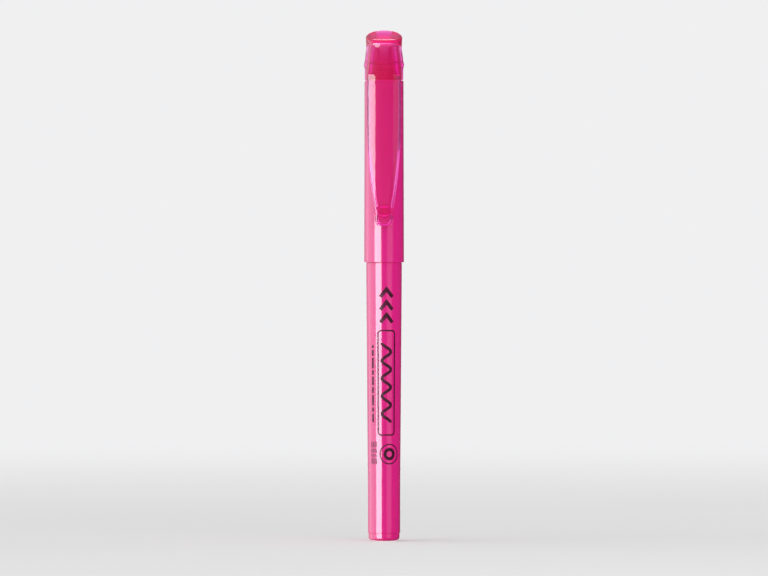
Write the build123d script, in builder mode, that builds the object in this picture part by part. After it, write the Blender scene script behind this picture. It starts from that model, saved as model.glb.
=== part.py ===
from build123d import *
import os
from math import radians, tan

# A capped, pen-style highlighter with a chisel nib, standing on the rear end of its barrel.
#
# +Z runs up the pen's axis from the rear end to the closed end of the cap, and the pocket clip faces -Y.
# The origin is the centre of the flat rear face. All sizes are in millimetres and degrees.
#
# Pieces: a tapered barrel closed by a rear plug, a fibre ink reservoir in a film sleeve, a nib holder with
# its nib, and a cap made of an opaque sleeve, a sealing liner, and a tinted crown with its pocket clip.

# Driving dimensions: heights are measured from the rear face
TOTAL_LENGTH = 144.5
RIM_Z = 78.7  # mouth of the cap, where it meets the barrel's step
SHOULDER_Z = 130.2  # top of the cap's opaque sleeve, where the crown starts
REAR_R = 4.62  # barrel radius at the rear, on the straight seat
STEP_R = 5.10  # barrel radius just below the cap
MOUTH_R = 5.68  # cap sleeve radius at its mouth
TOP_R = 5.56  # cap sleeve radius at its shoulder
WALL = 0.85  # moulded wall
SLIDE_GAP = 0.08  # radial clearance of the sliding cap
FIT_GAP = 0.02  # gap left between pieces that are pressed together
CAP_STOP_GAP = 0.05  # gap between the cap's mouth and the barrel's step

# Barrel
PLUG_RIM = 2.2  # height of the plug's visible rim
SEAT_LENGTH = 12.0  # straight seat at the rear, where the cap can be posted
BARREL_TOP_Z = 90.5
NECK_R = 4.87  # barrel radius inside the cap
FRONT_BORE_R = 4.0
FRONT_BORE_Z = 82.0  # start of the straight bore that takes the nib holder
REAR_BORE_R = REAR_R - WALL
BARREL_SHOULDER = 0.75  # rounding of the barrel's front edge
RIB_COUNT = 4
RIB_WIDTH = 0.7
RIB_DEPTH = 0.8
RIB_START_Z = 9.0
RIB_END_Z = 80.0

# Rear plug
PLUG_R = 4.45
PLUG_ROUNDING = 1.1
PLUG_TOP_Z = 7.2
PLUG_WALL = 0.8
VENT_SLOTS = 3
VENT_SLOT_WIDTH = 0.6
VENT_SLOT_DEPTH = 0.25

# Reservoir
CORE_R = 3.2
FILM_THICKNESS = 0.16
RESERVOIR_START_Z = 7.4
RESERVOIR_END_Z = 88.9
FILM_R = CORE_R + FIT_GAP + FILM_THICKNESS

# Nib holder and nib
HOLDER_R = FRONT_BORE_R - FIT_GAP
HOLDER_START_Z = 82.3
CHAMBER_R = FILM_R + 0.06  # room for the end of the reservoir
CHAMBER_END_Z = 89.4
FLANGE_R = 4.15
FLANGE_END_Z = 91.0
GROOVE_R = 3.7
COLLAR_R = 4.0
COLLAR_START_Z = 92.0
COLLAR_END_Z = 93.4
HOLDER_ROUNDING = 0.2
CONE_START_R = 3.72
CONE_END_R = 2.8
CONE_END_Z = 103.2
NIB_R = 2.38
NIB_GAP = 0.04
NIB_TIP_Z = 109.1
NIB_SHOULDER_Z = 91.3
TAIL_R = 1.55
TAIL_START_Z = 83.2
TAIL_GAP = 0.05
TAIL_LEAD = 0.8  # length of the tail's tapered end
TAIL_LEAD_DEPTH = 0.4
CHISEL_SLANT = 30.0  # slope of the writing edge
CHISEL_THICKNESS = 1.7  # thickness left at the writing edge
WEDGE_START_Z = 104.0
AIR_GROOVES = 3
AIR_GROOVE_R = 0.35

# Cap sleeve
SLEEVE_BORE_R = NECK_R + SLIDE_GAP
LINER_STEP_Z = 118.2  # where the bore steps in and holds the liner
LINER_BORE_R = 4.5
BOSS_R = 4.45  # closed end that stands up inside the crown
BOSS_TOP_Z = 140.3
BOSS_BORE_R = 3.65
BOSS_ROUNDING = 0.8
BEAD_Z = 134.6  # snap bead that holds the crown on
BEAD_R = 0.35
BEAD_HEIGHT = 0.12
SLEEVE_TOP_ROUNDING = 0.35
RIM_ROUNDING = 0.2

# Inner cap, a liner that seals round the nib holder
LINER_START_Z = 91.4
LINER_MOUTH_R = 4.7
LINER_WALL = 0.6
LINER_ROOF_Z = 115.8
LINER_TOP_Z = 122.0
LINER_FLANGE = 1.4
LINER_NECKING = 0.35  # how far the cup is drawn in above its mouth
LINER_LEAD = 1.0  # length of the seal above the collar
LINER_MOUTH_CHAMFER = 0.15
SEAL_GAP = 0.06

# Crown and clip, one tinted moulding that is split here at the line where it bends
CROWN_GAP = 0.05
CROWN_BASE_Z = SHOULDER_Z + CROWN_GAP
CROWN_BORE_R = BOSS_R + CROWN_GAP
CROWN_SKIRT_R = 5.5
CROWN_BEAD_R = 5.75  # swelling over the snap bead
CROWN_BEAD_SPREAD = 1.65  # height of the swelling's slopes
CROWN_WAIST_R = 5.08
CROWN_WAIST_Z = 139.6
CROWN_LIP_R = 5.28
CROWN_BACK_Z = TOTAL_LENGTH + 0.25  # slanted end face at the back, before its rim is rounded
CROWN_FRONT_Z = 141.0  # slanted end face at the front
CROWN_ROUNDING = 0.6
CROWN_ROOF_Z = BOSS_TOP_Z + 0.4
BRIDGE_FOOT_HEIGHT = 0.9
BRIDGE_TOP_Z = 140.0
BRIDGE_TOP_DEPTH = 4.95
BRIDGE_TOP_HALF_WIDTH = 2.6
BRIDGE_CORNER = 1.3
CLIP_FRONT_Y = -8.5
CLIP_CROWNING_R = 13.0  # curve across the clip's front
CLIP_THICKNESS = 1.6
CLIP_HALF_WIDTH = 4.85
CLIP_TIP_Z = 89.0
CLIP_TIP_HALF_WIDTH = 2.6
CLIP_TIP_CORNER = 1.7
CLIP_TAPER = ((29, 1), (19.5, 0.92), (9.8, 0.71), (3.8, 0.515))  # height over the tip, share of the width
CLIP_ROOT_Z = 130.4  # height of the bending line
CLIP_HINGE_Y = CLIP_FRONT_Y + CLIP_THICKNESS / 2
KNUCKLE_R = 0.55
KNUCKLE_GAP = 0.06
ROOT_GAP = 0.12
CLIP_BEAD_Z = 93.2
CLIP_BEAD_R = 1.75
CLIP_BEAD_GAP = 0.12

parts = {}


def keep(builder, name):
    """Labels a finished piece and writes it as its own STEP file."""
    builder.part.label = name
    parts[name] = builder.part
    export_step(builder.part, f"parts/{name}.step")


os.makedirs("parts", exist_ok=True)

# Barrel: a tapered tube, stepped down where the cap slides over it
with BuildPart() as barrel:
    with BuildSketch(Plane.XZ):
        Polygon(
            (REAR_BORE_R, PLUG_RIM),
            (REAR_R, PLUG_RIM),
            (REAR_R, PLUG_RIM + SEAT_LENGTH),
            (STEP_R, RIM_Z - CAP_STOP_GAP),
            (NECK_R, RIM_Z - CAP_STOP_GAP),
            (NECK_R, BARREL_TOP_Z),
            (FRONT_BORE_R, BARREL_TOP_Z),
            (FRONT_BORE_R, FRONT_BORE_Z),
        )
    revolve(axis=Axis.Z)
    front_edge = barrel.edges().filter_by(GeomType.CIRCLE).group_by(Axis.Z)[-1].sort_by(SortBy.RADIUS)[-1]
    fillet(front_edge, BARREL_SHOULDER)
    # Ribs keep the reservoir off the wall, so that air can pass to the rear
    with BuildSketch(Plane.XY.offset(RIB_START_Z)):
        with PolarLocations(FILM_R + FIT_GAP + RIB_DEPTH / 2, RIB_COUNT, start_angle=45):
            Rectangle(RIB_DEPTH, RIB_WIDTH)
    extrude(amount=RIB_END_Z - RIB_START_Z)
keep(barrel, "barrel")

# Rear plug: a cup pressed into the barrel, with slots that let air past it
with BuildPart() as rear_plug:
    plug_spigot_r = REAR_BORE_R - FIT_GAP
    with BuildSketch(Plane.XZ):
        Polygon(
            (0, 0),
            (PLUG_R, 0),
            (PLUG_R, PLUG_RIM - FIT_GAP),
            (plug_spigot_r, PLUG_RIM - FIT_GAP),
            (plug_spigot_r, PLUG_TOP_Z),
            (plug_spigot_r - PLUG_WALL, PLUG_TOP_Z),
            (plug_spigot_r - PLUG_WALL, PLUG_RIM / 2),
            (0, PLUG_RIM / 2),
        )
    revolve(axis=Axis.Z)
    fillet(rear_plug.edges().filter_by(GeomType.CIRCLE).group_by(Axis.Z)[0], PLUG_ROUNDING)
    with BuildSketch(Plane.XY.offset(PLUG_RIM)):
        with PolarLocations(plug_spigot_r, VENT_SLOTS):
            Rectangle(2 * VENT_SLOT_DEPTH, VENT_SLOT_WIDTH)
    extrude(amount=PLUG_TOP_Z, mode=Mode.SUBTRACT)
keep(rear_plug, "rear_plug")

# Ink reservoir: a fibre rod with a socket for the nib's tail
with BuildPart() as ink_reservoir:
    with BuildSketch(Plane.XY.offset(RESERVOIR_START_Z)):
        Circle(CORE_R)
    extrude(amount=RESERVOIR_END_Z - RESERVOIR_START_Z)
    with BuildSketch(Plane.XY.offset(RESERVOIR_END_Z)):
        Circle(TAIL_R + TAIL_GAP)
    extrude(amount=TAIL_START_Z - TAIL_GAP - RESERVOIR_END_Z, mode=Mode.SUBTRACT)
keep(ink_reservoir, "ink_reservoir")

# Film sleeve wrapped round the fibre
with BuildPart() as reservoir_film:
    with BuildSketch(Plane.XY.offset(RESERVOIR_START_Z)):
        Circle(FILM_R)
        Circle(CORE_R + FIT_GAP, mode=Mode.SUBTRACT)
    extrude(amount=RESERVOIR_END_Z - RESERVOIR_START_Z)
keep(reservoir_film, "reservoir_film")

# Nib holder: spigot, sealing collar and cone in one moulding
with BuildPart() as nib_holder:
    nib_bore_r = NIB_R + NIB_GAP
    with BuildSketch(Plane.XZ):
        Polygon(
            (CHAMBER_R, HOLDER_START_Z),
            (HOLDER_R, HOLDER_START_Z),
            (HOLDER_R, BARREL_TOP_Z + FIT_GAP),
            (FLANGE_R, BARREL_TOP_Z + FIT_GAP),
            (FLANGE_R, FLANGE_END_Z),
            (GROOVE_R, FLANGE_END_Z),
            (GROOVE_R, COLLAR_START_Z),
            (COLLAR_R, COLLAR_START_Z),
            (COLLAR_R, COLLAR_END_Z),
            (CONE_START_R, COLLAR_END_Z),
            (CONE_END_R, CONE_END_Z),
            (nib_bore_r, CONE_END_Z),
            (nib_bore_r, NIB_SHOULDER_Z - FIT_GAP),
            (CHAMBER_R, CHAMBER_END_Z),
        )
    revolve(axis=Axis.Z)
    rings = nib_holder.edges().filter_by(GeomType.CIRCLE)
    fillet(rings.filter_by(lambda e: abs(e.radius - COLLAR_R) < 1e-3), HOLDER_ROUNDING)
    rings = nib_holder.edges().filter_by(GeomType.CIRCLE)
    fillet(rings.group_by(Axis.Z)[-1].sort_by(SortBy.RADIUS)[-1], HOLDER_ROUNDING)
    # Grooves along the nib let air back into the reservoir as ink leaves it
    with BuildSketch(Plane.XY.offset(CHAMBER_END_Z)):
        with PolarLocations(nib_bore_r, AIR_GROOVES, start_angle=90):
            Circle(AIR_GROOVE_R)
    extrude(amount=CONE_END_Z - CHAMBER_END_Z, mode=Mode.SUBTRACT)
keep(nib_holder, "nib_holder")

# Nib: a round fibre rod cut to a slanted chisel, with a thinner tail in the reservoir
with BuildPart() as nib:
    with BuildSketch(Plane.XZ):
        Polygon(
            (0, TAIL_START_Z),
            (TAIL_R - TAIL_LEAD_DEPTH, TAIL_START_Z),
            (TAIL_R, TAIL_START_Z + TAIL_LEAD),
            (TAIL_R, NIB_SHOULDER_Z - NIB_R + TAIL_R),
            (NIB_R, NIB_SHOULDER_Z),
            (NIB_R, NIB_TIP_Z + NIB_R),
            (0, NIB_TIP_Z + NIB_R),
        )
    revolve(axis=Axis.Z)
    # Two flats converge to the writing edge
    with BuildSketch(Plane.YZ) as flats:
        for side in (-1, 1):
            with BuildLine():
                Polyline(
                    (side * NIB_R, WEDGE_START_Z),
                    (side * CHISEL_THICKNESS / 2, NIB_TIP_Z),
                    (side * CHISEL_THICKNESS / 2, NIB_TIP_Z + 2 * NIB_R),
                    (side * 2 * NIB_R, NIB_TIP_Z + 2 * NIB_R),
                    (side * 2 * NIB_R, WEDGE_START_Z),
                    close=True,
                )
            make_face()
    extrude(amount=2 * NIB_R, both=True, mode=Mode.SUBTRACT)
    # The slanted cut makes one long and one short corner
    slant_rise = 4 * NIB_R * tan(radians(CHISEL_SLANT))
    with BuildSketch(Plane.XZ):
        with BuildLine():
            Polyline(
                (NIB_R, NIB_TIP_Z),
                (-3 * NIB_R, NIB_TIP_Z - slant_rise),
                (-3 * NIB_R, NIB_TIP_Z + 3 * NIB_R),
                (NIB_R, NIB_TIP_Z + 3 * NIB_R),
                close=True,
            )
        make_face()
    extrude(amount=2 * NIB_R, both=True, mode=Mode.SUBTRACT)
keep(nib, "nib")

# Cap sleeve: the opaque tube, closed above by a boss that carries the crown
with BuildPart() as cap_sleeve:
    with BuildSketch(Plane.XZ):
        Polygon(
            (SLEEVE_BORE_R, RIM_Z),
            (MOUTH_R, RIM_Z),
            (TOP_R, SHOULDER_Z),
            (BOSS_R, SHOULDER_Z),
            (BOSS_R, BOSS_TOP_Z),
            (0, BOSS_TOP_Z),
            (0, BOSS_TOP_Z - WALL),
            (BOSS_BORE_R, BOSS_TOP_Z - WALL),
            (BOSS_BORE_R, SHOULDER_Z),
            (LINER_BORE_R, SHOULDER_Z - WALL),
            (LINER_BORE_R, LINER_STEP_Z),
            (SLEEVE_BORE_R, LINER_STEP_Z),
        )
    revolve(axis=Axis.Z)
    rims = cap_sleeve.edges().filter_by(GeomType.CIRCLE)
    fillet(rims.group_by(Axis.Z)[-1], BOSS_ROUNDING)
    rims = cap_sleeve.edges().filter_by(GeomType.CIRCLE)
    fillet(rims.group_by(Axis.Z)[0], RIM_ROUNDING)
    rims = cap_sleeve.edges().filter_by(GeomType.CIRCLE)
    fillet(rims.filter_by(lambda e: abs(e.radius - TOP_R) < 1e-3), SLEEVE_TOP_ROUNDING)
    with BuildSketch(Plane.XZ):
        with Locations((BOSS_R + BEAD_HEIGHT - BEAD_R, BEAD_Z)):
            Circle(BEAD_R)
    revolve(axis=Axis.Z)
keep(cap_sleeve, "cap_sleeve")

# Inner cap: a thin cup that seals on the nib holder's collar and plugs into the sleeve above
with BuildPart() as inner_cap:
    seal_r = COLLAR_R + SEAL_GAP
    plug_outer_r = LINER_BORE_R - FIT_GAP
    plug_inner_r = plug_outer_r - LINER_WALL
    cup_r = plug_outer_r - LINER_NECKING
    flange_r = SLEEVE_BORE_R - FIT_GAP
    flange_z = LINER_STEP_Z - FIT_GAP
    with BuildSketch(Plane.XZ):
        Polygon(
            (seal_r, LINER_START_Z),
            (LINER_MOUTH_R, LINER_START_Z),
            (LINER_MOUTH_R, COLLAR_END_Z + LINER_LEAD),
            (cup_r, LINER_ROOF_Z),
            (cup_r, flange_z - LINER_FLANGE),
            (flange_r, flange_z - LINER_FLANGE),
            (flange_r, flange_z),
            (plug_outer_r, flange_z),
            (plug_outer_r, LINER_TOP_Z),
            (plug_inner_r, LINER_TOP_Z),
            (plug_inner_r, LINER_ROOF_Z + LINER_WALL),
            (0, LINER_ROOF_Z + LINER_WALL),
            (0, LINER_ROOF_Z),
            (cup_r - LINER_WALL, LINER_ROOF_Z),
            (seal_r, COLLAR_END_Z + LINER_LEAD),
        )
    revolve(axis=Axis.Z)
    chamfer(inner_cap.edges().filter_by(GeomType.CIRCLE).group_by(Axis.Z)[0], LINER_MOUTH_CHAMFER)
keep(inner_cap, "inner_cap")

# Crown: a tinted cup over the boss, cut off at a slant, with the solid bridge that carries the clip
with BuildPart() as cap_crown:
    with BuildSketch(Plane.XZ):
        with BuildLine():
            outside = Spline(
                (CROWN_SKIRT_R, CROWN_BASE_Z),
                (CROWN_SKIRT_R, BEAD_Z - CROWN_BEAD_SPREAD),
                (CROWN_BEAD_R, BEAD_Z),
                (CROWN_SKIRT_R, BEAD_Z + CROWN_BEAD_SPREAD),
                (CROWN_WAIST_R, CROWN_WAIST_Z),
                tangents=[(0, 1), (0, 1)],
            )
            Polyline(
                outside @ 1,
                (CROWN_LIP_R, CROWN_BACK_Z),
                (0, CROWN_BACK_Z),
                (0, CROWN_BASE_Z),
                outside @ 0,
            )
        make_face()
    revolve(axis=Axis.Z)
    # Slanted end face with a rounded rim
    with BuildSketch(Plane.YZ):
        Polygon(
            (CROWN_LIP_R, CROWN_BACK_Z),
            (-CROWN_LIP_R, CROWN_FRONT_Z),
            (-CROWN_LIP_R, CROWN_BACK_Z + 1),
            (CROWN_LIP_R, CROWN_BACK_Z + 1),
        )
    extrude(amount=2 * CROWN_LIP_R, both=True, mode=Mode.SUBTRACT)
    fillet(cap_crown.faces().sort_by(Axis.Z)[-1].edges(), CROWN_ROUNDING)
    # The bridge grows out of the crown's front, down to the clip's full width and depth
    with BuildSketch(Plane.XY.offset(CLIP_ROOT_Z)) as bridge_foot:
        with Locations((0, CLIP_FRONT_Y)):
            Rectangle(2 * CLIP_HALF_WIDTH, -CLIP_FRONT_Y, align=(Align.CENTER, Align.MIN))
        fillet(bridge_foot.vertices().group_by(Axis.Y)[0], BRIDGE_CORNER)
    extrude(amount=BRIDGE_FOOT_HEIGHT)
    with BuildSketch(Plane.XY.offset(CLIP_ROOT_Z + BRIDGE_FOOT_HEIGHT)):
        add(bridge_foot.sketch_local)
    with BuildSketch(Plane.XY.offset(BRIDGE_TOP_Z)) as bridge_top:
        with Locations((0, -BRIDGE_TOP_DEPTH)):
            Rectangle(2 * BRIDGE_TOP_HALF_WIDTH, BRIDGE_TOP_DEPTH, align=(Align.CENTER, Align.MIN))
        fillet(bridge_top.vertices().group_by(Axis.Y)[0], BRIDGE_CORNER)
    loft()
    # Bore for the sleeve's boss, with a groove for its snap bead
    with BuildSketch(Plane.XZ):
        Polygon(
            (0, CROWN_BASE_Z),
            (CROWN_BORE_R, CROWN_BASE_Z),
            (CROWN_BORE_R, CROWN_ROOF_Z - BOSS_ROUNDING),
            (CROWN_BORE_R - BOSS_ROUNDING, CROWN_ROOF_Z),
            (0, CROWN_ROOF_Z),
        )
        with Locations((BOSS_R + BEAD_HEIGHT - BEAD_R, BEAD_Z)):
            Circle(BEAD_R + SLIDE_GAP)
    revolve(axis=Axis.Z, mode=Mode.SUBTRACT)
    # Socket round the clip's bending line
    with BuildSketch(Plane.YZ):
        with Locations((CLIP_HINGE_Y, CLIP_ROOT_Z)):
            Circle(KNUCKLE_R + KNUCKLE_GAP)
    extrude(amount=2 * CLIP_HALF_WIDTH, both=True, mode=Mode.SUBTRACT)
keep(cap_crown, "cap_crown")

# Pocket clip: a curved arm that tapers to a rounded tip, with a bead that bears on the sleeve
with BuildPart() as pocket_clip:
    with BuildSketch(Plane.XZ) as outline:
        with BuildLine():
            root = Line((0, CLIP_ROOT_Z - ROOT_GAP), (CLIP_HALF_WIDTH, CLIP_ROOT_Z - ROOT_GAP))
            taper_points = [(share * CLIP_HALF_WIDTH, CLIP_TIP_Z + height) for height, share in CLIP_TAPER]
            Line(root @ 1, taper_points[0])
            taper = Spline(*taper_points, tangents=[(0, -1), (-0.15, -1)])
            Polyline(taper @ 1, (CLIP_TIP_HALF_WIDTH, CLIP_TIP_Z), (0, CLIP_TIP_Z))
            mirror(about=Plane.YZ)
        make_face()
        fillet(outline.vertices().group_by(Axis.Y)[0], CLIP_TIP_CORNER)
    extrude(amount=-2 * CLIP_FRONT_Y)
    with BuildSketch(Plane.XY.offset(CLIP_TIP_Z - 1)):
        with Locations((0, CLIP_FRONT_Y + CLIP_CROWNING_R)):
            Circle(CLIP_CROWNING_R)
            Circle(CLIP_CROWNING_R - CLIP_THICKNESS, mode=Mode.SUBTRACT)
    extrude(amount=CLIP_ROOT_Z - CLIP_TIP_Z + 2, mode=Mode.INTERSECT)
    with BuildSketch(Plane.YZ):
        with Locations((CLIP_HINGE_Y, CLIP_ROOT_Z)):
            Circle(KNUCKLE_R)
    extrude(amount=CLIP_HALF_WIDTH - BRIDGE_CORNER, both=True)
    with Locations((0, -MOUTH_R - CLIP_BEAD_GAP - CLIP_BEAD_R, CLIP_BEAD_Z)):
        Sphere(CLIP_BEAD_R)
    # The bead's ball is cut level with the clip's front
    with BuildSketch(Plane.XY.offset(CLIP_TIP_Z)):
        with Locations((0, CLIP_FRONT_Y + CLIP_CROWNING_R)):
            Circle(2 * CLIP_CROWNING_R)
            Circle(CLIP_CROWNING_R, mode=Mode.SUBTRACT)
    extrude(amount=CLIP_ROOT_Z - CLIP_TIP_Z, mode=Mode.SUBTRACT)
keep(pocket_clip, "pocket_clip")

for piece_name, piece in parts.items():
    print(f"{piece_name}: {piece.volume:.1f} mm3")
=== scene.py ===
import math

import bpy
import numpy as np
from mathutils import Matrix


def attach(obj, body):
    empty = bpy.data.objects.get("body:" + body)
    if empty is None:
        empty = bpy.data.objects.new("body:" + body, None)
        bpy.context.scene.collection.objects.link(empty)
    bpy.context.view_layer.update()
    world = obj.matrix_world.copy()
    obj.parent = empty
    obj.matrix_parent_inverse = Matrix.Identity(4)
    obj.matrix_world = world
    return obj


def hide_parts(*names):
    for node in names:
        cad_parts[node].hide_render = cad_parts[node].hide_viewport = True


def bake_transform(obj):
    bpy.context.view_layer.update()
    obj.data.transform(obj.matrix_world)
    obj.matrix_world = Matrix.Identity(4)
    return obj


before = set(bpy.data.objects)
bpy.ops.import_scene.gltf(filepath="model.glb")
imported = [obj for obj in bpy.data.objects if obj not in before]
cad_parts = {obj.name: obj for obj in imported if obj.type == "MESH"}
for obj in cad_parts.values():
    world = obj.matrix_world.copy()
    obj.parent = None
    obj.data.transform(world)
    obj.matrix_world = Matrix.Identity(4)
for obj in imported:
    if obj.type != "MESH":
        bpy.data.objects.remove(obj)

MM = 0.001
SHARP_ANGLE = math.radians(40)
BACKGROUND = (0.87, 0.87, 0.88, 1)
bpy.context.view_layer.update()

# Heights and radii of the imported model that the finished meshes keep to
RIM_Z = 78.7  # the cap's open rim
SHOULDER_Z = 130.2  # where the sleeve ends and the crown begins
PLUG_RIM_Z = 2.2
SEAT_TOP_Z = 14.2
SEAT_R = 4.62
STEP_R = 5.10
MOUTH_R = 5.68
SHOULDER_R = 5.56
NECK_R = 4.87
NECK_TOP_Z = 90.5
BORE_R = 4.95
BOSS_R = 4.45
BOSS_TOP_Z = 140.3
BEAD_Z = 134.6  # the bead that the crown snaps over
CROWN_R = 5.47
CROWN_FOOT_Z = 130.27
CROWN_END_Z = 142.79  # height of the slanted end on the pen's axis
CROWN_SLOPE = 3.75 / 10.56
CROWN_BORE_R = 4.52
CROWN_BORE_TOP_Z = 140.7
CLIP_FRONT_Y = -8.48
CLIP_BACK_Y = -6.75
CLIP_TIP_Z = 89.03
CLIP_HALF_WIDTH = 4.83
NIB_R = 2.38
NIB_TIP_Z = 109.1
NIB_TAIL_R = 1.55

# Noise textures give mostly values between these
NOISE_LOW = 0.3
NOISE_HIGH = 0.7


# ---------------------------------------------------------------- meshes

def make_piece(name, points, faces, body, material, slot, smooth=True):
    """Makes a closed mesh from points in millimetres. It rides on a body, if one is given."""
    mesh = bpy.data.meshes.new(name)
    mesh.from_pydata([tuple(MM * c for c in p) for p in points], [], faces)
    mesh.materials.append(material)
    if smooth:
        mesh.shade_smooth()
        mesh.set_sharp_from_angle(angle=SHARP_ANGLE)
    piece = bpy.data.objects.new(name, mesh)
    bpy.context.scene.collection.objects.link(piece)
    if body:
        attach(piece, body)
    return piece


def rounded(outline, steps=6):
    """A closed outline of (radius, height, rounding) corners, with each rounded corner made an arc."""
    points = []
    for i, (r, z, rounding) in enumerate(outline):
        corner = np.array([r, z], float)
        if rounding == 0:
            points.append(corner)
            continue
        back = np.array(outline[i - 1][:2]) - corner
        ahead = np.array(outline[(i + 1) % len(outline)][:2]) - corner
        back /= np.linalg.norm(back)
        ahead /= np.linalg.norm(ahead)
        half_angle = math.acos(np.clip(back @ ahead, -1, 1)) / 2
        bisector = (back + ahead) / np.linalg.norm(back + ahead)
        centre = corner + bisector * rounding / math.sin(half_angle)
        start = corner + back * rounding / math.tan(half_angle) - centre
        end = corner + ahead * rounding / math.tan(half_angle) - centre
        turn = math.atan2(start[0] * end[1] - start[1] * end[0], start @ end)
        for k in range(steps + 1):
            a = turn * k / steps
            spin = np.array([[math.cos(a), -math.sin(a)], [math.sin(a), math.cos(a)]])
            points.append(centre + spin @ start)
    return points


def held(outline, margin=0.12):
    """Adds a point close to each end of the long straight runs, so that smooth shading stays flat there."""
    points = []
    for a, b in zip(outline, outline[1:] + outline[:1]):
        a, b = np.array(a, float), np.array(b, float)
        points.append(a)
        length = np.linalg.norm(b - a)
        if length > 4 * margin and max(a[0], b[0]) > 1e-6:
            points += [a + (b - a) * margin / length, b - (b - a) * margin / length]
    return points


def lathe(outline, segments=144):
    """Points and faces of an outline of radius and height pairs, counter-clockwise, turned about Z."""
    points, faces, rings = [], [], []
    for r, z in held(outline):
        if r < 1e-6:
            rings.append([len(points)] * segments)
            points.append((0, 0, z))
            continue
        rings.append([len(points) + k for k in range(segments)])
        for k in range(segments):
            a = 2 * math.pi * k / segments
            points.append((r * math.cos(a), r * math.sin(a), z))
    for lower, upper in zip(rings, rings[1:] + rings[:1]):
        for k in range(segments):
            n = (k + 1) % segments
            corners = list(dict.fromkeys((lower[k], lower[n], upper[n], upper[k])))
            if len(corners) > 2:
                faces.append(corners)
    return points, faces


def round_max(radius, *fields):
    """The intersection of solids given as distance fields, with its edges rounded."""
    reach = [np.maximum(f + radius, 0) for f in fields]
    outside = np.sqrt(sum(u * u for u in reach))
    return np.minimum(-radius, np.maximum.reduce(fields)) + outside


def round_min(radius, *fields):
    """The union of solids given as distance fields, with a fillet between them."""
    return -round_max(radius, *[-f for f in fields])


def mesh_field(field, low, high, step):
    """Points and quads on the zero surface of a distance field, placed exactly on it and evenly spread."""
    axes = [np.arange(a, b + step, step) for a, b in zip(low, high)]
    values = field(*np.meshgrid(*axes, indexing="ij"))
    inside = values < 0
    total = np.zeros(tuple(n - 1 for n in values.shape) + (3,))
    count = np.zeros(total.shape[:3])
    crossings = []
    for axis in range(3):
        near = [slice(None)] * 3
        far = [slice(None)] * 3
        near[axis], far[axis] = slice(None, -1), slice(1, None)
        found = np.argwhere(inside[tuple(near)] != inside[tuple(far)])
        a = values[tuple(near)][tuple(found.T)]
        b = values[tuple(far)][tuple(found.T)]
        where = found.astype(float)
        where[:, axis] += a / (a - b)
        crossings.append((axis, found, inside[tuple(near)][tuple(found.T)]))
        u, v = [k for k in range(3) if k != axis]
        for du in (0, 1):
            for dv in (0, 1):
                cell = found.copy()
                cell[:, u] -= du
                cell[:, v] -= dv
                np.add.at(total, tuple(cell.T), where)
                np.add.at(count, tuple(cell.T), 1)
    used = np.argwhere(count > 0)
    number = np.full(count.shape, -1)
    number[tuple(used.T)] = np.arange(len(used))
    points = total[tuple(used.T)] / count[tuple(used.T)][:, None] * step + np.array(low)
    quads = []
    for axis, found, solid_below in crossings:
        u, v = (axis + 1) % 3, (axis + 2) % 3
        ring = []
        for du, dv in ((0, 0), (1, 0), (1, 1), (0, 1)):
            cell = found.copy()
            cell[:, u] -= du
            cell[:, v] -= dv
            ring.append(number[tuple(cell.T)])
        ring = np.stack(ring, 1)
        quads.append(np.where(solid_below[:, None], ring, ring[:, ::-1]))
    quads = np.concatenate(quads)
    for _ in range(4):
        points = settle(field, spread(points, quads))
    return settle(field, points), quads.tolist()


def spread(points, quads):
    """Moves each point half way to the mean of its neighbours."""
    total = np.zeros_like(points)
    count = np.zeros(len(points))
    for a, b in ((0, 1), (1, 2), (2, 3), (3, 0)):
        for one, other in ((quads[:, a], quads[:, b]), (quads[:, b], quads[:, a])):
            np.add.at(total, one, points[other])
            np.add.at(count, one, 1)
    return (points + total / count[:, None]) / 2


def settle(field, points, probe=0.002):
    """Moves points along the field's slope onto its zero surface."""
    for _ in range(3):
        value = field(*points.T)
        slope = np.stack([
            (field(*(points + probe * step).T) - field(*(points - probe * step).T)) / (2 * probe)
            for step in np.eye(3)
        ], 1)
        points = points - slope * (value / np.maximum((slope ** 2).sum(1), 1e-6))[:, None]
    return points


# ---------------------------------------------------------------- materials

def new_material(name):
    """A material with only its output, its shader and the two helpers to add and join nodes."""
    material = bpy.data.materials.new(name)
    material.use_nodes = True
    tree = material.node_tree
    return material, tree, tree.nodes["Principled BSDF"]


def add_node(tree, kind, **settings):
    """Adds a node and sets its inputs, by name, and its own properties."""
    node = tree.nodes.new(kind)
    for key, value in settings.items():
        if key in node.inputs:
            node.inputs[key].default_value = value
        else:
            setattr(node, key, value)
    return node


def noise(tree, stretch, scale, detail=2.0, roughness=0.5):
    """Noise in the object's own space, stretched along its axes."""
    place = add_node(tree, "ShaderNodeTexCoord")
    squeeze = add_node(tree, "ShaderNodeMapping")
    squeeze.inputs["Scale"].default_value = stretch
    texture = add_node(tree, "ShaderNodeTexNoise", Scale=scale, Detail=detail, Roughness=roughness)
    tree.links.new(place.outputs["Object"], squeeze.inputs["Vector"])
    tree.links.new(squeeze.outputs["Vector"], texture.inputs["Vector"])
    return texture.outputs["Fac"]


def ramp(tree, source, color_low, color_high, low=NOISE_LOW, high=NOISE_HIGH):
    """Turns noise into a colour between two others."""
    node = add_node(tree, "ShaderNodeValToRGB")
    first, last = node.color_ramp.elements
    first.position, last.position = low, high
    first.color, last.color = color_low, color_high
    tree.links.new(source, node.inputs["Fac"])
    return node.outputs["Color"]


def map_range(tree, source, low, high, out_low, out_high, interpolation_type="LINEAR"):
    """Turns a value between two others into one between two more."""
    node = add_node(tree, "ShaderNodeMapRange", interpolation_type=interpolation_type)
    for name, value in (("From Min", low), ("From Max", high), ("To Min", out_low), ("To Max", out_high)):
        node.inputs[name].default_value = value
    tree.links.new(source, node.inputs["Value"])
    return node.outputs["Result"]


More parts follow.
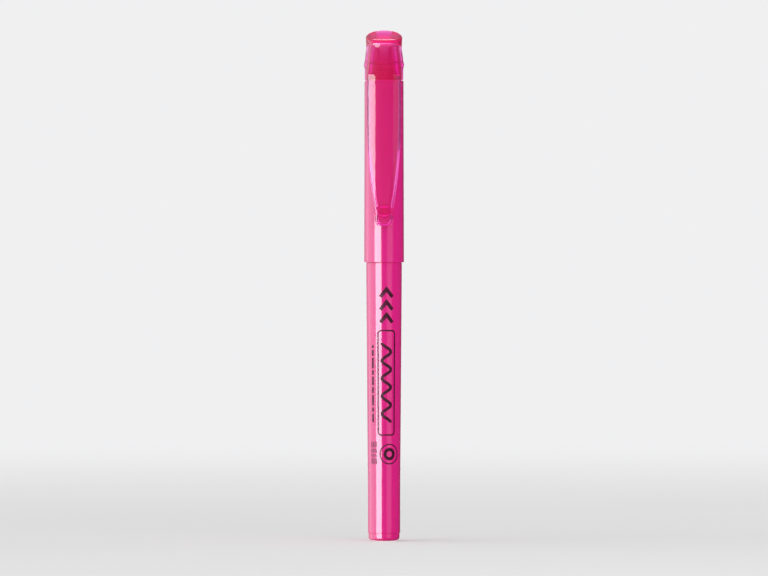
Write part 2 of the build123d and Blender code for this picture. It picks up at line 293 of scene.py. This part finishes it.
def spread_value(tree, source, low, high):
    """Turns noise into a range of values."""
    return map_range(tree, source, NOISE_LOW, NOISE_HIGH, low, high)


def add_bump(tree, shader, height, distance, strength=1.0):
    """Gives the shader a bump, after any bump it already has."""
    bump = add_node(tree, "ShaderNodeBump", Strength=strength, Distance=distance)
    tree.links.new(height, bump.inputs["Height"])
    for link in list(shader.inputs["Normal"].links):
        tree.links.new(link.from_socket, bump.inputs["Normal"])
    tree.links.new(bump.outputs["Normal"], shader.inputs["Normal"])


def fluorescent_plastic():
    """Opaque moulded plastic in fluorescent pink, with a faint flow pattern and fine handling marks."""
    material, tree, shader = new_material("fluorescent_plastic")
    flow = noise(tree, (1, 1, 0.4), 90, detail=2)
    pink = ramp(tree, flow, (0.81, 0.013, 0.250, 1), (0.84, 0.016, 0.262, 1))
    tree.links.new(pink, shader.inputs["Base Color"])
    marks = noise(tree, (1, 1, 0.5), 1100, detail=3)
    tree.links.new(spread_value(tree, marks, 0.08, 0.16), shader.inputs["Roughness"])
    shader.inputs["Coat Weight"].default_value = 1.0
    shader.inputs["Coat Roughness"].default_value = 0.03
    # Painted glow: an even emission that no lamp drives stands in for fluorescence and keeps the shaded side
    # pink
    shader.inputs["Emission Color"].default_value = (0.9, 0.02, 0.2, 1)
    shader.inputs["Emission Strength"].default_value = 0.06
    add_bump(tree, shader, noise(tree, (1, 1, 0.6), 260), 0.000008)
    return material


def tinted_plastic():
    """Clear moulded plastic, whose pink deepens with the thickness that light goes through."""
    material, tree, shader = new_material("tinted_plastic")
    shader.inputs["Base Color"].default_value = (1, 1, 1, 1)
    shader.inputs["Transmission Weight"].default_value = 1.0
    shader.inputs["IOR"].default_value = 1.57
    haze = noise(tree, (1, 1, 0.3), 900, detail=2)
    tree.links.new(spread_value(tree, haze, 0.05, 0.09), shader.inputs["Roughness"])
    add_bump(tree, shader, noise(tree, (1, 1, 0.3), 300), 0.000006)
    # Painted glow: an emission that no lamp drives, strongest at the slanted end, makes that end lighter
    # than the rest, in place of light that fluorescent dye carries to the edges.
    # Generated coordinates run from 0 at the clip's tip to 1 at the crown's end, and stay with the mesh
    place = add_node(tree, "ShaderNodeTexCoord")
    height = add_node(tree, "ShaderNodeSeparateXYZ")
    tree.links.new(place.outputs["Generated"], height.inputs["Vector"])
    painted_glow = map_range(tree, height.outputs["Z"], 0.925, 0.965, 0.06, 0.15)
    tree.links.new(painted_glow, shader.inputs["Emission Strength"])
    shader.inputs["Emission Color"].default_value = (1, 0.12, 0.42, 1)
    tint = add_node(tree, "ShaderNodeVolumeAbsorption", Color=(0.97, 0.0, 0.76, 1), Density=850.0)
    tree.links.new(tint.outputs["Volume"], tree.nodes["Material Output"].inputs["Volume"])
    return material


def liner_plastic():
    """Milky natural polypropylene."""
    material, tree, shader = new_material("liner_plastic")
    milk = noise(tree, (1, 1, 0.4), 260)
    tree.links.new(ramp(tree, milk, (0.80, 0.79, 0.76, 1), (0.88, 0.87, 0.85, 1)),
                   shader.inputs["Base Color"])
    tree.links.new(spread_value(tree, noise(tree, (1, 1, 1), 1500), 0.32, 0.48), shader.inputs["Roughness"])
    add_bump(tree, shader, noise(tree, (1, 1, 1), 900), 0.00001)
    return material


def ink_felt():
    """Polyester fibres along the pen, soaked in ink, with painted shade making the pink darker in the
    hollows between the fibres.
    """
    material, tree, shader = new_material("ink_felt")
    fibres = noise(tree, (1, 1, 0.035), 5200, detail=2, roughness=0.6)
    blotches = noise(tree, (1, 1, 0.6), 700, detail=3)
    mix = add_node(tree, "ShaderNodeMix", data_type="RGBA", blend_type="MULTIPLY")
    mix.inputs["Factor"].default_value = 0.5
    # Painted shade: the pink follows the fibres' bump and is darker in its hollows
    pinks = ramp(tree, fibres, (0.62, 0.012, 0.13, 1), (0.98, 0.075, 0.36, 1), low=0.35, high=0.65)
    patches = ramp(tree, blotches, (0.80, 0.62, 0.70, 1), (1, 1, 1, 1), low=0.35, high=0.65)
    tree.links.new(pinks, mix.inputs["A"])
    tree.links.new(patches, mix.inputs["B"])
    tree.links.new(mix.outputs["Result"], shader.inputs["Base Color"])
    shader.inputs["Roughness"].default_value = 0.85
    shader.inputs["Sheen Weight"].default_value = 0.3
    shader.inputs["Sheen Tint"].default_value = (1, 0.5, 0.75, 1)
    # Painted glow: an even emission that no lamp drives stands in for fluorescence
    shader.inputs["Emission Color"].default_value = (1, 0.03, 0.25, 1)
    shader.inputs["Emission Strength"].default_value = 0.08
    add_bump(tree, shader, fibres, 0.00006)
    return material


def clear_film():
    """The thin film round the reservoir."""
    material, tree, shader = new_material("clear_film")
    creases = noise(tree, (1, 1, 0.15), 400)
    # Painted shade: the film's pink follows the creases' bump and is darker in their hollows
    tree.links.new(ramp(tree, creases, (0.90, 0.42, 0.62, 1), (0.97, 0.60, 0.76, 1)),
                   shader.inputs["Base Color"])
    shader.inputs["Roughness"].default_value = 0.15
    add_bump(tree, shader, creases, 0.00002)
    return material


def printing_ink():
    """Dark pad-printed ink, a little uneven where it covers the plastic thinly."""
    material, tree, shader = new_material("printing_ink")
    cover = noise(tree, (1, 1, 1), 2400, detail=3)
    tree.links.new(ramp(tree, cover, (0.030, 0.002, 0.012, 1), (0.075, 0.006, 0.030, 1)),
                   shader.inputs["Base Color"])
    tree.links.new(spread_value(tree, cover, 0.35, 0.5), shader.inputs["Roughness"])
    shader.inputs["Specular IOR Level"].default_value = 0.25
    return material


FADE_START = 0.05  # metres from the pen
FADE_END = 1.2


def pale_floor():
    """A plain pale floor that takes the pen's shadow, and fades into the background further out."""
    material, tree, shader = new_material("pale_floor")
    tone = noise(tree, (1, 1, 1), 4, detail=2)
    tree.links.new(ramp(tree, tone, (0.86, 0.86, 0.865, 1), (0.88, 0.88, 0.882, 1)),
                   shader.inputs["Base Color"])
    shader.inputs["Roughness"].default_value = 0.8
    shader.inputs["Specular IOR Level"].default_value = 0.0
    place = add_node(tree, "ShaderNodeTexCoord")
    distance = add_node(tree, "ShaderNodeVectorMath", operation="LENGTH")
    fade = map_range(tree, distance.outputs["Value"], FADE_START, FADE_END, 0, 1, "SMOOTHSTEP")
    far = add_node(tree, "ShaderNodeEmission", Color=BACKGROUND)
    mix = add_node(tree, "ShaderNodeMixShader")
    for source, target in (
        (place.outputs["Object"], distance.inputs[0]),
        (fade, mix.inputs["Fac"]),
        (shader.outputs["BSDF"], mix.inputs[1]),
        (far.outputs["Emission"], mix.inputs[2]),
        (mix.outputs["Shader"], tree.nodes["Material Output"].inputs["Surface"]),
    ):
        tree.links.new(source, target)
    return material


plastic = fluorescent_plastic()
tinted = tinted_plastic()
liner = liner_plastic()
felt = ink_felt()
film = clear_film()
ink = printing_ink()


# ---------------------------------------------------------------- cap

def ease(t):
    """A smooth step from 0 to 1, as t goes from 0 to 1."""
    t = np.clip(t, 0, 1)
    return t * t * (3 - 2 * t)


def crown_radius(z):
    """Outside radius of the crown: a skirt, a swelling at the snap bead, a waist and a flared lip."""
    waist_z, waist_length = 135.6, 3.9
    flare_z, flare_length = 139.6, 5.2
    swelling = 0.26 * np.exp(-(((z - BEAD_Z) / 0.75) ** 2))
    waist = 0.40 * ease((z - waist_z) / waist_length)
    flare = 0.20 * np.clip((z - flare_z) / flare_length, 0, 1)
    return CROWN_R + swelling - waist + flare


def smooth_curve(knots, count=60):
    """Heights and values of a smooth curve through a few points."""
    z, w = np.array(knots, float).T
    heights = np.linspace(z[0], z[-1], count)
    slopes = np.gradient(w, z)
    i = np.clip(np.searchsorted(z, heights) - 1, 0, len(z) - 2)
    span = z[i + 1] - z[i]
    t = (heights - z[i]) / span
    curve = ((1 + 2 * t) * (1 - t) ** 2 * w[i] + t * (1 - t) ** 2 * span * slopes[i]
             + t * t * (3 - 2 * t) * w[i + 1] + t * t * (t - 1) * span * slopes[i + 1])
    return heights, curve


CLIP_HEIGHTS, CLIP_WIDTHS = smooth_curve([
    (89.0, 2.62), (91.0, 2.55), (93.2, 2.62), (98.5, 3.42), (104.0, 4.08), (109.0, 4.5), (114.0, 4.74),
    (119.0, CLIP_HALF_WIDTH), (131.0, CLIP_HALF_WIDTH),
])


def moulding_front(x, y):
    """The front that clip and bridge share: its field, and how far it has fallen back at each x."""
    sag = 0.9 * (np.abs(x) / 4.85) ** 3
    return CLIP_FRONT_Y + sag - y, sag


def crown_cup(r, y, z):
    """Field of the crown without its bore, cut off at a slant."""
    slanted_end = (z - CROWN_END_Z - CROWN_SLOPE * y) / math.hypot(1, CROWN_SLOPE)
    cup = round_max(0.6, r - crown_radius(z), slanted_end)
    return round_max(0.25, cup, CROWN_FOOT_Z - z)


def clip_bridge(x, y, z, front):
    """Field of the bridge from clip to crown. Its front leans back and its sides draw in as they rise."""
    low_z, high_z = 130.42, 141.5
    lean_z, lean_length, lean_depth = 131.4, 9.0, 3.75
    lean = np.clip((z - lean_z) / lean_length, 0, 2)
    steepness = np.where(lean > 0, 1.08, 1)
    leaning_front = (front + lean_depth * lean) / steepness
    half_width = CLIP_HALF_WIDTH - 1.1 * np.clip((z - 130.4) / 10, 0, 1) ** 1.5
    bridge = round_max(0.7, np.abs(x) - half_width, leaning_front, y - 1, z - high_z)
    return round_max(0.25, bridge, low_z - z)


def clip_arm(x, y, z, front, sag):
    """Field of the clip: an arm with a stiffening rim round its underside and an oval bead near its tip."""
    root_z, edge_rounding = 132, 0.45
    rim_width, rim_depth, rim_slope = 0.95, 0.7, 0.5
    bead_y, bead_z = -7.1, 93.2
    side = (np.abs(x) - np.interp(z, CLIP_HEIGHTS, CLIP_WIDTHS)) * 0.985
    outline = round_max(1.7, side, CLIP_TIP_Z - z)
    rim = rim_depth * ease((outline + rim_width) / rim_slope)
    thinning = 0.35 * np.clip((126 - z) / 32, 0, 1)
    back = CLIP_BACK_Y - thinning + 0.7 * sag + rim
    arm = round_max(edge_rounding, outline, front, y - back, z - root_z)
    bead = np.sqrt((x / 2.1) ** 2 + ((y - bead_y) / 1.28) ** 2 + ((z - bead_z) / 1.5) ** 2)
    return round_min(0.7, arm, (bead - 1) * 1.3)


def crown_and_clip(x, y, z):
    """Field of the whole tinted moulding, with the bore that goes over the sleeve's boss and snap bead."""
    r = np.hypot(x, y)
    front, sag = moulding_front(x, y)
    body = round_min(0.5, crown_cup(r, y, z), clip_bridge(x, y, z, front))
    body = round_min(0.35, body, clip_arm(x, y, z, front, sag))
    body = round_max(0.1, body, front)
    bore = round_max(0.8, r - CROWN_BORE_R, z - CROWN_BORE_TOP_Z)
    groove = np.hypot(r - 4.25, z - BEAD_Z) - 0.42
    return round_max(0.06, body, -np.minimum(bore, groove))


def make_cap():
    """The tinted moulding of crown and clip, and the opaque sleeve."""
    points, faces = mesh_field(crown_and_clip, (-6.2, -9.0, 88.4), (6.2, 6.0, 145.0), 0.2)
    moulding = make_piece("crown_and_clip", points, faces, None, tinted, "tinted_plastic")
    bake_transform(moulding)
    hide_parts("cap_crown", "pocket_clip")

    wall = 0.85
    liner_seat_r, liner_seat_z = 4.5, 118.2
    boss_bore_r = 3.65
    sleeve = rounded([
        (BORE_R, RIM_Z, 0.15), (MOUTH_R, RIM_Z, 0.28),
        (SHOULDER_R, SHOULDER_Z, 0.35), (BOSS_R, SHOULDER_Z, 0),
        (BOSS_R, BEAD_Z - 0.35, 0.1), (BOSS_R + 0.1, BEAD_Z, 0.2), (BOSS_R, BEAD_Z + 0.35, 0.1),
        (BOSS_R, BOSS_TOP_Z, 0.8), (0, BOSS_TOP_Z, 0),
        (0, BOSS_TOP_Z - wall, 0), (boss_bore_r, BOSS_TOP_Z - wall, 0.3),
        (boss_bore_r, SHOULDER_Z, 0.2), (liner_seat_r, SHOULDER_Z - wall, 0.2),
        (liner_seat_r, liner_seat_z, 0), (BORE_R, liner_seat_z, 0),
    ])
    tube = make_piece("cap_sleeve_tube", *lathe(sleeve), "cap", plastic, "fluorescent_plastic")
    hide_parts("cap_sleeve")


# ---------------------------------------------------------------- barrel

def barrel_radius(z):
    """Outside radius of the barrel below the cap."""
    return np.interp(z, (SEAT_TOP_Z, RIM_Z), (SEAT_R, STEP_R))


def make_barrel():
    """The barrel's tube, with the neck that the cap goes over, and the plug in its rear end."""
    bore_r, front_bore_r, front_bore_z = 3.77, 4.0, 82.0
    step_z = RIM_Z - 0.05
    tube = rounded([
        (bore_r, PLUG_RIM_Z, 0), (SEAT_R, PLUG_RIM_Z, 0.12), (SEAT_R, SEAT_TOP_Z, 0), (STEP_R, step_z, 0.12),
        (NECK_R, step_z, 0), (NECK_R, NECK_TOP_Z, 0.7), (front_bore_r, NECK_TOP_Z, 0),
        (front_bore_r, front_bore_z, 0),
    ])
    barrel = make_piece("barrel_tube", *lathe(tube), "barrel", plastic, "fluorescent_plastic")
    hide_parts("barrel")

    dimple, flange_r, flange_z = 0.12, 4.45, PLUG_RIM_Z - 0.02
    cup_r, cup_bore_r, cup_top_z, base = 3.75, 2.95, 7.2, 1.1
    plug = rounded([
        (0, dimple, 0), (0.75, dimple, 0.1), (0.95, 0, 0.1), (flange_r, 0, 1.1), (flange_r, flange_z, 0.08),
        (cup_r, flange_z, 0), (cup_r, cup_top_z, 0.2), (cup_bore_r, cup_top_z, 0.2), (cup_bore_r, base, 0.3),
        (0, base, 0),
    ])
    end = make_piece("rear_plug_cup", *lathe(plug), "barrel", plastic, "fluorescent_plastic")
    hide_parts("rear_plug")


# ---------------------------------------------------------------- print on the barrel

PRINT_R = 4.85  # radius at which widths round the barrel are measured
PRINT_SINK = 0.01
PRINT_RISE = 0.025
PRINT_MIDDLE = 0.7  # how far round from the front the frame and chevrons are centred
FRAME_HALF_WIDTH = 2.4
FRAME_LOW = 30.0
FRAME_HIGH = 59.5
FRAME_CORNER = 0.9
BADGE_MIDDLE = (1.6, 24.6)
CHEVRON_HEIGHTS = (61.8, 65.4, 69.0)
SMALL_ROWS = (-3.9, -3.15, -2.4)


def stroke(path, width, closed=False):
    """A thin raised line on the barrel, along a path of distances round it and heights."""
    path = np.array(path, float)
    following = np.roll(path, -1, axis=0)
    before = np.roll(path, 1, axis=0)
    if not closed:
        following[-1], before[0] = path[-1], path[0]
    ahead, back = following - path, path - before
    ahead[~ahead.any(1)] = back[~ahead.any(1)]
    back[~back.any(1)] = ahead[~back.any(1)]
    ahead /= np.linalg.norm(ahead, axis=1)[:, None]
    back /= np.linalg.norm(back, axis=1)[:, None]
    along = (ahead + back) / np.linalg.norm(ahead + back, axis=1)[:, None]
    across = np.stack([-along[:, 1], along[:, 0]], 1)
    across /= np.maximum((along * ahead).sum(1), 0.5)[:, None]
    points = []
    for centre, side in zip(path, across * width / 2):
        for offset, lift in ((-1, -PRINT_SINK), (1, -PRINT_SINK), (1, PRINT_RISE), (-1, PRINT_RISE)):
            s, z = centre + offset * side
            r = barrel_radius(z) + lift
            points.append((r * math.sin(s / PRINT_R), -r * math.cos(s / PRINT_R), z))
    count = len(path)
    faces = []
    for i in range(count if closed else count - 1):
        here, there = 4 * i, 4 * ((i + 1) % count)
        for k in range(4):
            n = (k + 1) % 4
            faces.append((here + k, here + n, there + n, there + k))
    if not closed:
        last = 4 * (count - 1)
        faces += [(3, 2, 1, 0), (last, last + 1, last + 2, last + 3)]
    return points, faces


def line(*corners, step=0.35):
    """Points along straight runs, close enough to follow the barrel."""
    points = []
    for a, b in zip(np.array(corners[:-1], float), np.array(corners[1:], float)):
        if np.allclose(a, b):
            continue
        count = math.ceil(np.linalg.norm(b - a) / step)
        points += [a + (b - a) * k / count for k in range(count)]
    return points + [np.array(corners[-1], float)]


def arc(s, z, radius, start, end, step=9):
    """Points on an arc, from one angle in degrees to another."""
    count = round(abs(end - start) / step)
    angles = [math.radians(start + (end - start) * k / count) for k in range(count + 1)]
    return [(s + radius * math.cos(a), z + radius * math.sin(a)) for a in angles]


def print_on_barrel(name, strokes):
    """Joins strokes into one printed piece."""
    points, faces = [], []
    for stroke_points, stroke_faces in strokes:
        faces += [tuple(len(points) + i for i in face) for face in stroke_faces]
        points += stroke_points
    make_piece(name, points, faces, "barrel", ink, "fluorescent_plastic", smooth=False)


def dashes(s, low, high, lengths, gap, width):
    """A row of dashes up the barrel, which stands for a line of small print."""
    strokes = []
    z = low
    while z < high:
        for length in lengths:
            end = min(z + length, high)
            if end - z > width:
                strokes.append(stroke([(s, z), (s, end)], width))
            z = end + gap
    return strokes


def frame_outline():
    """A tall rectangle with round corners."""
    right = PRINT_MIDDLE + FRAME_HALF_WIDTH - FRAME_CORNER
    left = PRINT_MIDDLE - FRAME_HALF_WIDTH + FRAME_CORNER
    low, high = FRAME_LOW + FRAME_CORNER, FRAME_HIGH - FRAME_CORNER
    corners = []
    for s, z, start in ((right, low, -90), (right, high, 0), (left, high, 90), (left, low, 180)):
        corners += arc(s, z, FRAME_CORNER, start, start + 90)
    return line(*corners, corners[0])[:-1]


def scribble_path():
    """A wave that runs up inside the frame, as a highlighter leaves it."""
    swings = np.linspace(0, 9 * math.pi, 150)
    return [(PRINT_MIDDLE + 1.25 * math.cos(a), 33.5 + 22.5 * a / swings[-1]) for a in swings]


def chevron(z):
    """An arrow head that points up the barrel."""
    s, reach, rise = PRINT_MIDDLE, 1.7, 2.2
    return line((s - reach, z), (s, z + rise), (s + reach, z))


def make_print():
    """Plain marks, with no lettering: a framed scribble, chevrons, a ring badge and rows of dashes."""
    print_on_barrel("print_frame", [stroke(frame_outline(), 0.4, closed=True)])
    print_on_barrel("print_scribble", [stroke(scribble_path(), 0.85)])
    print_on_barrel("print_chevrons", [stroke(chevron(z), 1.0) for z in CHEVRON_HEIGHTS])
    rings = [
        stroke(arc(*BADGE_MIDDLE, radius, 0, 351), width, closed=True)
        for radius, width in ((2.75, 0.32), (1.3, 0.9))
    ]
    print_on_barrel("print_badge", rings)
    small_lines = dashes(-3.4, 33.6, 55.4, lengths=(2.4, 1.2, 3.0, 1.7), gap=0.55, width=0.6)
    for s in SMALL_ROWS:
        small_lines += dashes(s, 21.8, 28.6, lengths=(1.6, 0.8, 1.1), gap=0.4, width=0.34)
    print_on_barrel("print_small_lines", small_lines)


# ---------------------------------------------------------------- writing end

def nib_field(x, y, z):
    """Distance field of the nib: a rod with a thin tail, two flats and a slanted writing edge."""
    r = np.hypot(x, y)
    rod = round_max(0.15, r - NIB_R, 91.3 - z)
    tail = round_max(0.3, r - NIB_TAIL_R, 83.2 - z)
    body = round_min(0.3, rod, tail)
    flat = (np.abs(y) - 0.85 - (NIB_TIP_Z - z) * 0.3) * 0.958
    slant = (z - NIB_TIP_Z + (NIB_R - x) * 0.577) * 0.866
    return round_max(0.22, body, flat, slant)


def make_writing_end():
    """The cone that holds the nib, with its groove and flange, and the nib."""
    holder = rounded([
        (3.44, 82.3, 0.1), (3.98, 82.3, 0.2), (3.98, NECK_TOP_Z + 0.02, 0),
        (4.15, NECK_TOP_Z + 0.02, 0.05), (4.15, 91.0, 0.12),
        (3.7, 91.0, 0.1), (3.7, 92.0, 0.1), (4.0, 92.0, 0.15), (4.0, 93.4, 0.2), (3.72, 93.4, 0.06),
        (2.8, 103.2, 0.22), (2.42, 103.2, 0.1), (2.42, 91.28, 0), (3.44, 89.4, 0),
    ])
    collar = make_piece("nib_holder_cone", *lathe(holder), "barrel", plastic, "fluorescent_plastic")
    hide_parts("nib_holder")
    points, faces = mesh_field(nib_field, (-2.8, -2.8, 82.8), (2.8, 2.8, 109.6), 0.16)
    nib = make_piece("chisel_nib", points, faces, "barrel", felt, "ink_felt")
    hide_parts("nib")


make_cap()
make_barrel()
make_print()
make_writing_end()

for node, material in (("inner_cap", liner), ("ink_reservoir", felt), ("reservoir_film", film)):
    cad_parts[node].data.materials.clear()
    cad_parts[node].data.materials.append(material)


# ---------------------------------------------------------------- stage, lights and camera

AIM_Z = 0.07  # the middle of the pen
LEFT_WALL = 1.2  # brightness of the studio's left side, as reflections show it
RIGHT_WALL = 0.06
SEEN_SIDES = 0.2  # brightness of both sides, as clear plastic shows them


def make_floor():
    """A pale floor. Glossy rays don't see it, so the pen reflects the lights and the studio alone."""
    mesh = bpy.data.meshes.new("floor")
    half = 4.0
    corners = [(-half, -half, 0), (half, -half, 0), (half, half, 0), (-half, half, 0)]
    mesh.from_pydata(corners, [], [(0, 1, 2, 3)])
    mesh.materials.append(pale_floor())
    floor = bpy.data.objects.new("floor", mesh)
    bpy.context.scene.collection.objects.link(floor)
    floor.visible_glossy = False


def softbox(name, azimuth, distance, height, size, radiance, **seen):
    """An area light that faces the pen, at an azimuth round it: 0 is in front, and 90 is at +X.

    Its size is its width and height, and seen says which kinds of ray it shows to.
    """
    data = bpy.data.lights.new(name, "AREA")
    data.shape = "RECTANGLE"
    data.size, data.size_y = size
    data.energy = math.pi * radiance * size[0] * size[1]
    light = bpy.data.objects.new(name, data)
    a = math.radians(azimuth)
    light.location = (distance * math.sin(a), -distance * math.cos(a), height)
    light.rotation_euler = (math.atan2(distance, height - AIM_Z), 0, a)
    light.visible_camera = False
    for ray, is_seen in seen.items():
        setattr(light, "visible_" + ray, is_seen)
    bpy.context.scene.collection.objects.link(light)


def make_world():
    """Light that falls off from left to right, and a plain pale background."""
    world = bpy.data.worlds.new("studio")
    world.use_nodes = True
    tree = world.node_tree
    direction = add_node(tree, "ShaderNodeTexCoord")
    parts = add_node(tree, "ShaderNodeSeparateXYZ")
    walls = map_range(tree, parts.outputs["X"], -1, 0.2, LEFT_WALL, RIGHT_WALL, "SMOOTHSTEP")
    lit = add_node(tree, "ShaderNodeBackground")
    shown = add_node(tree, "ShaderNodeBackground", Color=BACKGROUND)
    # Clear plastic shows darker edges where it bends the view towards the darker sides of the studio
    sideways = add_node(tree, "ShaderNodeMath", operation="ABSOLUTE")
    sides = map_range(tree, sideways.outputs["Value"], 0.4, 0.9, 1, SEEN_SIDES, "SMOOTHSTEP")
    brightness = add_node(tree, "ShaderNodeMath", operation="MAXIMUM")
    path = add_node(tree, "ShaderNodeLightPath")
    seen_through = add_node(tree, "ShaderNodeMath", operation="MAXIMUM")
    mix = add_node(tree, "ShaderNodeMixShader")
    for source, target in (
        (direction.outputs["Generated"], parts.inputs["Vector"]),
        (walls, lit.inputs["Strength"]),
        (parts.outputs["X"], sideways.inputs[0]),
        (sides, brightness.inputs[0]),
        (path.outputs["Is Camera Ray"], brightness.inputs[1]),
        (brightness.outputs["Value"], shown.inputs["Strength"]),
        (path.outputs["Is Camera Ray"], seen_through.inputs[0]),
        (path.outputs["Is Transmission Ray"], seen_through.inputs[1]),
        (seen_through.outputs["Value"], mix.inputs["Fac"]),
        (lit.outputs["Background"], mix.inputs[1]),
        (shown.outputs["Background"], mix.inputs[2]),
        (mix.outputs["Shader"], tree.nodes["World Output"].inputs["Surface"]),
    ):
        tree.links.new(source, target)
    bpy.context.scene.world = world


def make_camera(azimuth, elevation, distance, aim_z, lens):
    """A long lens far from the pen, aimed at its axis."""
    data = bpy.data.cameras.new("camera")
    data.lens = lens
    data.clip_end = 20
    camera = bpy.data.objects.new("camera", data)
    a, e = math.radians(azimuth), math.radians(elevation)
    camera.location = (distance * math.sin(a) * math.cos(e), -distance * math.cos(a) * math.cos(e),
                       aim_z + distance * math.sin(e))
    camera.rotation_euler = (math.pi / 2 - e, 0, a)
    bpy.context.scene.collection.objects.link(camera)
    bpy.context.scene.camera = camera


def light_scene():
    """Five lights that show only as reflections, and two large ones that only light the surfaces."""
    make_world()
    bpy.context.scene.view_settings.view_transform = "Standard"
    gloss = {"diffuse": False, "transmission": False}
    soft = {"glossy": False, "transmission": False}
    softbox("strip_left", azimuth=-36, distance=0.42, height=0.05, size=(0.30, 0.80), radiance=7.0, **gloss)
    softbox("strip_right", azimuth=36, distance=0.50, height=0.05, size=(0.30, 0.80), radiance=0.5, **gloss)
    softbox("panel_left", azimuth=-90, distance=0.60, height=0.05, size=(0.75, 0.80), radiance=1.0, **gloss)
    softbox("strip_back", azimuth=180, distance=0.60, height=0.05, size=(0.25, 0.80), radiance=1.5, **gloss)
    softbox("top_back", azimuth=180, distance=0.80, height=0.70, size=(1.20, 0.90), radiance=0.2, **gloss)
    softbox("key_front", azimuth=25, distance=1.60, height=0.50, size=(1.20, 1.20), radiance=2.0, **soft)
    softbox("overhead", azimuth=0, distance=0.02, height=3.00, size=(8.00, 8.00), radiance=0.7, **soft)


make_floor()
light_scene()
make_camera(azimuth=0, elevation=0.5, distance=3.0, aim_z=0.0715, lens=497)
